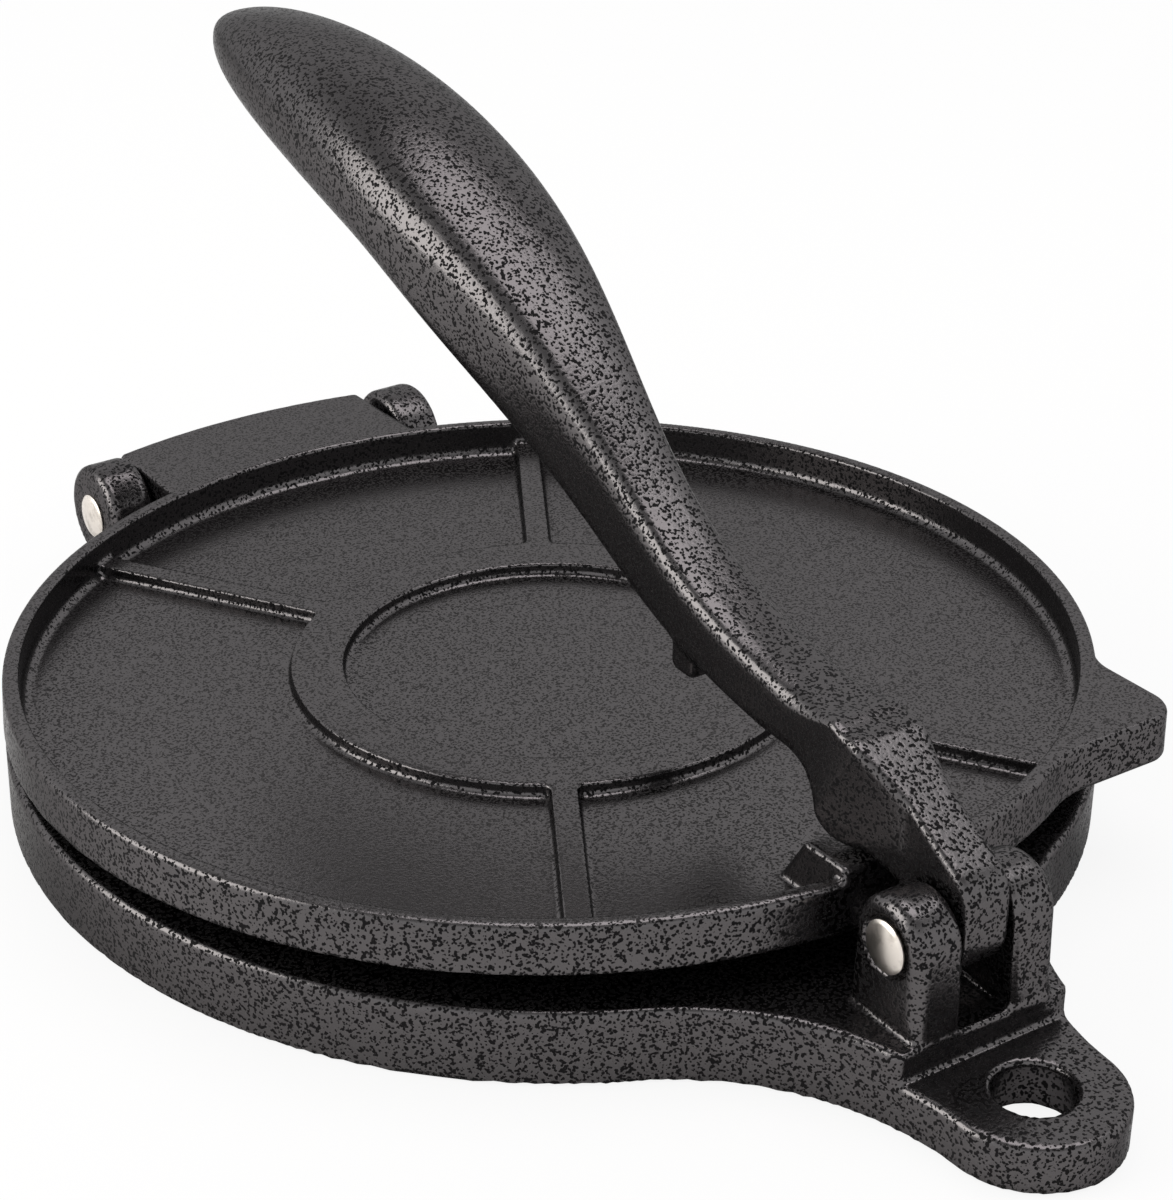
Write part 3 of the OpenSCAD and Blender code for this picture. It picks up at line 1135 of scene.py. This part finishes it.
@dataclass
class HeadedPin:
    """A steel pin along X with a low domed head at its left end."""

    nickel: bpy.types.Material
    axis: np.ndarray
    half_span: float
    radius: float = 3.8
    head_r: float = 4.7
    head_h: float = 1.2
    tail_r: float = 3.7
    tail_h: float = 0.84
    edge_share: float = 0.35
    edge_slope: float = 0.6
    crease: float = math.radians(40)
    steps: int = 12
    sides: int = 64

    def dome(self, radius: float, height: float, end: End) -> list[Pair]:
        """Half the outline of one end, from its edge to the middle.

        Args:
            radius: Radius of the end.
            height: How far the end stands out of its ear.
            end: Which end it is.

        Returns:
            Points as distance along X and distance from the axis.
        """
        start = end.value * self.half_span
        edge = self.edge_share * height
        rise = height - edge
        ball = (radius**2 + rise**2) / (2 * rise)
        sweep = math.asin(radius / ball)
        points = [(start, radius), (start + end.value * edge * self.edge_slope, radius)]
        for i in range(self.steps):
            angle = sweep * (self.steps - 1 - i) / self.steps
            out = edge + rise - ball * (1 - math.cos(angle))
            points.append((start + end.value * out, ball * math.sin(angle)))
        return points

    def outline(self) -> list[Pair]:
        """The pin's outline from one end to the other.

        Returns:
            Points as distance along X and distance from the axis.
        """
        left = self.dome(self.head_r, self.head_h, End.LEFT)[::-1]
        right = self.dome(self.tail_r, self.tail_h, End.RIGHT)
        shank = [(-self.half_span, self.radius), (self.half_span, self.radius)]
        return [*left, *shank, *right]

    def build(self, name: str, node: str) -> bpy.types.Object:
        """Turns the pin's outline round its axis and dresses it.

        Args:
            name: The piece's name.
            node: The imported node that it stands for.

        Returns:
            The finished piece.
        """
        outline = self.outline()
        turns = np.linspace(0, 2 * math.pi, self.sides, endpoint=False)
        rings = [
            (px, self.axis[0] + r * math.cos(a), self.axis[1] + r * math.sin(a))
            for px, r in outline
            for a in turns
        ]
        last = len(outline) - 1
        starts = [i * self.sides for i in range(last + 1)]
        faces = [
            (near + k, near + n, far + n, far + k)
            for near, far in zip(starts, starts[1:])
            for k, n in zip(range(self.sides), [*range(1, self.sides), 0])
        ]
        faces.append(tuple(range(self.sides))[::-1])
        faces.append(tuple(starts[-1] + k for k in range(self.sides)))
        mesh = bpy.data.meshes.new(name)
        mesh.from_pydata((np.array(rings) * MM).tolist(), [], faces, shade_flat=False)
        mesh.validate()
        mesh.set_sharp_from_angle(angle=self.crease)
        mesh.materials.append(self.nickel)
        piece = bpy.data.objects.new(name, mesh)
        bpy.context.scene.collection.objects.link(piece)
        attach(piece, Body.BASE.value)
        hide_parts(node)
        return piece


# --- studio -----------------------------------------------------------------------


def towards(azimuth: float, elevation: float) -> Vector:
    """The direction out of the press to a place round it, from the front on."""
    level = math.cos(elevation)
    return Vector((math.sin(azimuth) * level, -math.cos(azimuth) * level, math.sin(elevation)))


@dataclass(frozen=True)
class Lamp:
    """A soft rectangular lamp that faces the press."""

    name: str
    azimuth: float
    elevation: float
    distance: float
    size: Pair
    power: float
    colour: Colour = (1.0, 1.0, 1.0)

    def hang(self, target: Vector) -> bpy.types.Object:
        """Puts the lamp in its place and turns it to the press.

        Args:
            target: What the lamp faces.

        Returns:
            The lamp, which isn't part of the press.
        """
        data = bpy.data.lights.new(self.name, "AREA")
        data.shape = "RECTANGLE"
        data.size, data.size_y = self.size
        data.energy = self.power
        data.color = self.colour
        lamp = bpy.data.objects.new(self.name, data)
        way = towards(math.radians(self.azimuth), math.radians(self.elevation))
        lamp.location = target + way * self.distance
        lamp.rotation_euler = way.to_track_quat("Z", "Y").to_euler()
        bpy.context.scene.collection.objects.link(lamp)
        return lamp


@dataclass
class Studio:
    """The white table, the soft light and the camera."""

    azimuth: float = math.radians(-34.92)
    elevation: float = math.radians(28.45)
    roll: float = math.radians(1.02)
    distance: float = 605.2
    aim: Pair = (6.04, 30.77)
    focal_px: float = 3123.29
    picture_w: int = 1173
    sensor_mm: float = 36.0
    near: float = 0.01
    ambient: float = 0.75
    ceiling: float = 0.4
    ceiling_from: Pair = (0.5, 0.9)
    table_tone: float = 0.9
    table_roughness: float = 0.7
    table_glow: float = 0.88
    table_half: float = 3.0
    table_gap: float = 0.0002
    lamp_target: tuple[float, float, float] = (0.0, 0.0, 0.03)
    lamps: tuple[Lamp, ...] = (
        Lamp("top_lamp", 100, 80, 1.2, (0.9, 0.9), 6.6, (1.0, 0.96, 0.97)),
        Lamp("left_lamp", -112, 24, 1.2, (0.85, 0.9), 8.5, (1.0, 0.98, 0.93)),
        Lamp("right_lamp", 75, 52, 1.3, (0.6, 0.5), 0.6),
    )

    def camera(self) -> bpy.types.Object:
        """Sets up the camera.

        Returns:
            The camera, which is also made the scene's own.
        """
        right = Vector((math.cos(self.azimuth), math.sin(self.azimuth), 0))
        back = towards(self.azimuth, self.elevation)
        up = back.cross(right)
        place = back * self.distance + right * self.aim[0] + up * self.aim[1]
        across = right * math.cos(self.roll) + up * math.sin(self.roll)
        above = up * math.cos(self.roll) - right * math.sin(self.roll)
        data = bpy.data.cameras.new("camera")
        data.sensor_fit = "HORIZONTAL"
        data.sensor_width = self.sensor_mm
        data.lens = self.focal_px * self.sensor_mm / self.picture_w
        data.clip_start = self.near
        camera = bpy.data.objects.new("camera", data)
        turn = Matrix((across, above, back)).transposed().to_4x4()
        camera.matrix_world = Matrix.Translation(place * MM) @ turn
        bpy.context.scene.collection.objects.link(camera)
        bpy.context.scene.camera = camera
        return camera

    def world(self) -> bpy.types.World:
        """Surrounds the press with white, and lights it softly from all round.

        Returns:
            The world, which is a little dimmer straight above.
        """
        world = bpy.data.worlds.new("white_room")
        world.use_nodes = True
        bpy.context.scene.world = world
        bench = Bench(world.node_tree)
        rays = bench.add("ShaderNodeLightPath", {}).outputs
        way = bench.add("ShaderNodeSeparateXYZ", {0: bench.place("Generated")})
        dimmed = (1.0, self.ceiling)
        ceiling = bench.mapped(way.outputs["Z"], self.ceiling_from, dimmed, Ramp.SMOOTH)
        seen = rays["Is Camera Ray"]
        colour = bench.maths(Sum.LARGER, seen, ceiling)
        for kind in ("Is Glossy Ray", "Is Transmission Ray"):
            seen = bench.maths(Sum.LARGER, seen, rays[kind])
        strength = bench.mapped(seen, (0.0, 1.0), (self.ambient, 1.0))
        sky = world.node_tree.nodes["Background"]
        bench.fit(sky, {"Color": colour, "Strength": strength})
        return world

    def table_finish(self) -> bpy.types.Material:
        """A matt white that the camera sees a little brighter, with its shadows.

        Returns:
            The table's material.
        """
        material, bench, shader = new_material("white_table")
        tone = (self.table_tone, self.table_tone, self.table_tone, 1.0)
        bench.fit(shader, {"Base Color": tone, "Roughness": self.table_roughness})
        glow = bench.add("ShaderNodeEmission", {"Strength": 1.0})
        rays = bench.add("ShaderNodeLightPath", {}).outputs
        share = bench.maths(Sum.TIMES, rays["Is Camera Ray"], self.table_glow)
        layers = {"Fac": share, 1: shader.outputs["BSDF"], 2: glow.outputs["Emission"]}
        both = bench.add("ShaderNodeMixShader", layers)
        output = material.node_tree.nodes["Material Output"]
        bench.fit(output, {"Surface": both.outputs["Shader"]})
        return material

    def table(self) -> bpy.types.Object:
        """Lays the white table.

        Returns:
            The table, which isn't part of the press.
        """
        half = self.table_half
        corners = [(-half, -half, 0), (half, -half, 0), (half, half, 0), (-half, half, 0)]
        mesh = bpy.data.meshes.new("table")
        mesh.from_pydata(corners, [], [(0, 1, 2, 3)])
        mesh.materials.append(self.table_finish())
        table = bpy.data.objects.new("table", mesh)
        table.location.z = -self.table_gap
        bpy.context.scene.collection.objects.link(table)
        return table

    def build(self) -> list[bpy.types.Object]:
        """Sets up the camera, the light and the table.

        Returns:
            The lamps, the table and the camera.
        """
        bpy.context.scene.view_settings.view_transform = "Standard"
        self.world()
        hung = [lamp.hang(Vector(self.lamp_target)) for lamp in self.lamps]
        return [*hung, self.table(), self.camera()]


def main() -> None:
    """Builds the studio and then the press, piece by piece."""
    logging.basicConfig(level=logging.INFO, format="%(name)s %(message)s")
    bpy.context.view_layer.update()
    for thing in Studio().build():
        log.info("%s: in place", thing.name)
    lacquer = HammeredLacquer().material()
    plate_lacquer = HammeredLacquer("level_face_lacquer", level_pattern=True).material()
    nickel = NickelPlate().material()
    base = BasePlate(lacquer)
    top_plate = TopPlate(plate_lacquer)
    lever = Lever(lacquer)
    lever_pin = HeadedPin(nickel, base.lever_pin, base.slot_w / 2 + base.bracket_w)
    hinge_pin = HeadedPin(nickel, base.hinge, base.ear_inside + base.ear_w)
    pieces = (
        base.build("base_casting", "base_plate", Body.BASE),
        top_plate.build("top_casting", "top_plate", Body.TOP_PLATE),
        lever.build("lever_casting", "lever", Body.LEVER),
        lever_pin.build("lever_pin_steel", "lever_pin"),
        hinge_pin.build("hinge_pin_steel", "hinge_pin"),
    )
    for piece in pieces:
        log.info("%s: %d faces", piece.name, len(piece.data.polygons))


if __name__ == "__main__":
    main()
